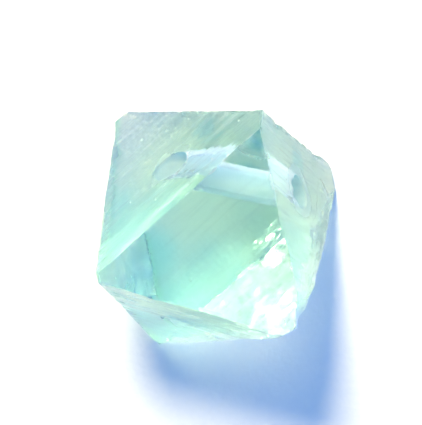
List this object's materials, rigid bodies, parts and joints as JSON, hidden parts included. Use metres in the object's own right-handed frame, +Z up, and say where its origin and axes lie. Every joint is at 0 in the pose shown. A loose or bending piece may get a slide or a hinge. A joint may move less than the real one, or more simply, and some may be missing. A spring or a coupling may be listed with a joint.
{
  "type": "drilled fluorite octahedron",
  "caption": "Clear sea-green crystal cleaved to a true octahedron, drilled straight across under a corner so that it can be strung as a bead or pendant.",
  "frame": {"origin": "on the ground, under the middle of the crystal's box, as it lies on one face", "axes": "+Z up, square to the face that it lies on; +X to the right and +Y to the back, so that the view from above has the drilled corner at the back"},
  "size_m": [0.0151, 0.0154, 0.0112],
  "materials": {
    "fluorite": "clear cleaved stone with silky steps"
  },
  "bodies": {
    "root": {"crystal": "fluorite"}
  },
  "joints": []
}
